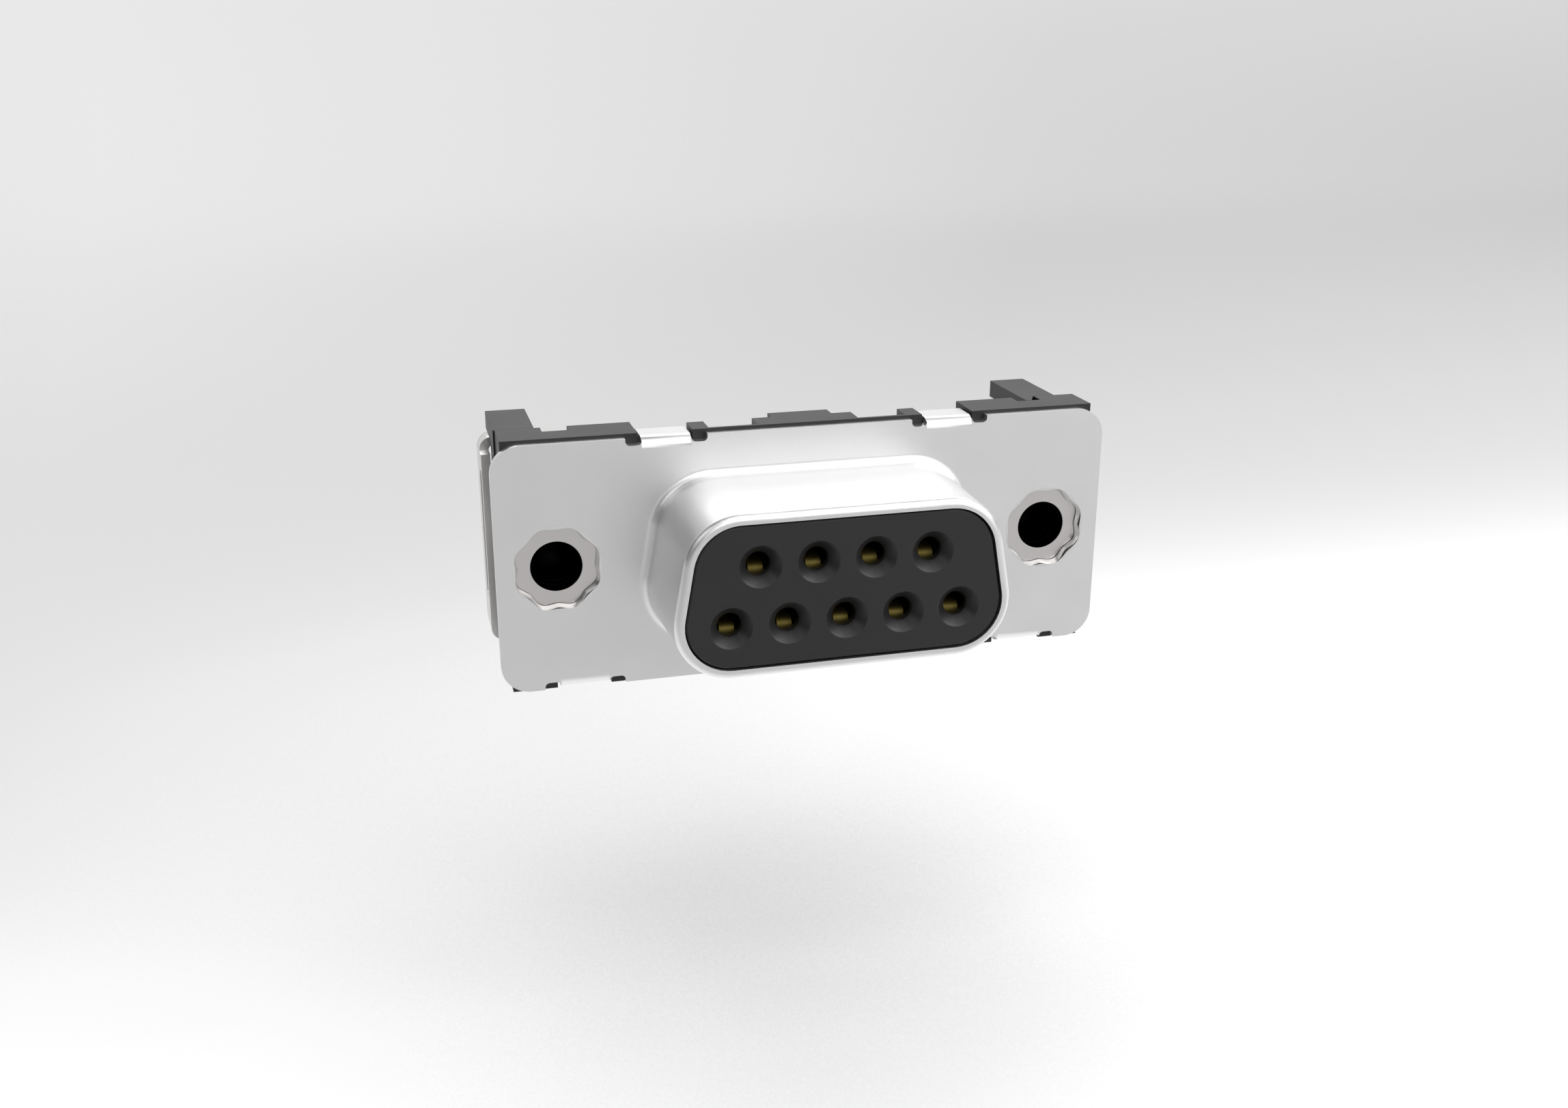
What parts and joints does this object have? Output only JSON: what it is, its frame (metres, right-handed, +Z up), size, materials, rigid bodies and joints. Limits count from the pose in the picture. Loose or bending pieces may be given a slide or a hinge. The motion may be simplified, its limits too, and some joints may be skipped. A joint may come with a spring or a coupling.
{
  "type": "d-sub connector",
  "caption": "Board-mount D-shaped socket connector: metal flange and D shroud over a black insulator with two rows of contact holes, a threaded insert at each end and folded brackets behind.",
  "frame": {"origin": "on the front face of the flange, midway between the two threaded holes", "axes": "+X along the flange, +Y back from the mating side towards the board, +Z up"},
  "size_m": [0.0308, 0.0159, 0.0126],
  "materials": {
    "shell_plating": "satin nickel over drawn steel sheet",
    "insulator": "fine matt moulded thermoplastic",
    "contact_plating": "gold over copper alloy",
    "insert_plating": "nickel plate over turned brass",
    "bracket_plating": "tin plate over folded steel sheet"
  },
  "bodies": {
    "root": {"front_shell": "shell_plating", "front_insulator": "insulator", "rear_insulator": "insulator", "contact_1": "contact_plating", "contact_2": "contact_plating", "contact_3": "contact_plating", "contact_4": "contact_plating", "contact_5": "contact_plating", "contact_6": "contact_plating", "contact_7": "contact_plating", "contact_8": "contact_plating", "contact_9": "contact_plating", "threaded_insert_left": "insert_plating", "threaded_insert_right": "insert_plating", "bracket_left": "bracket_plating", "bracket_right": "bracket_plating"}
  },
  "joints": []
}
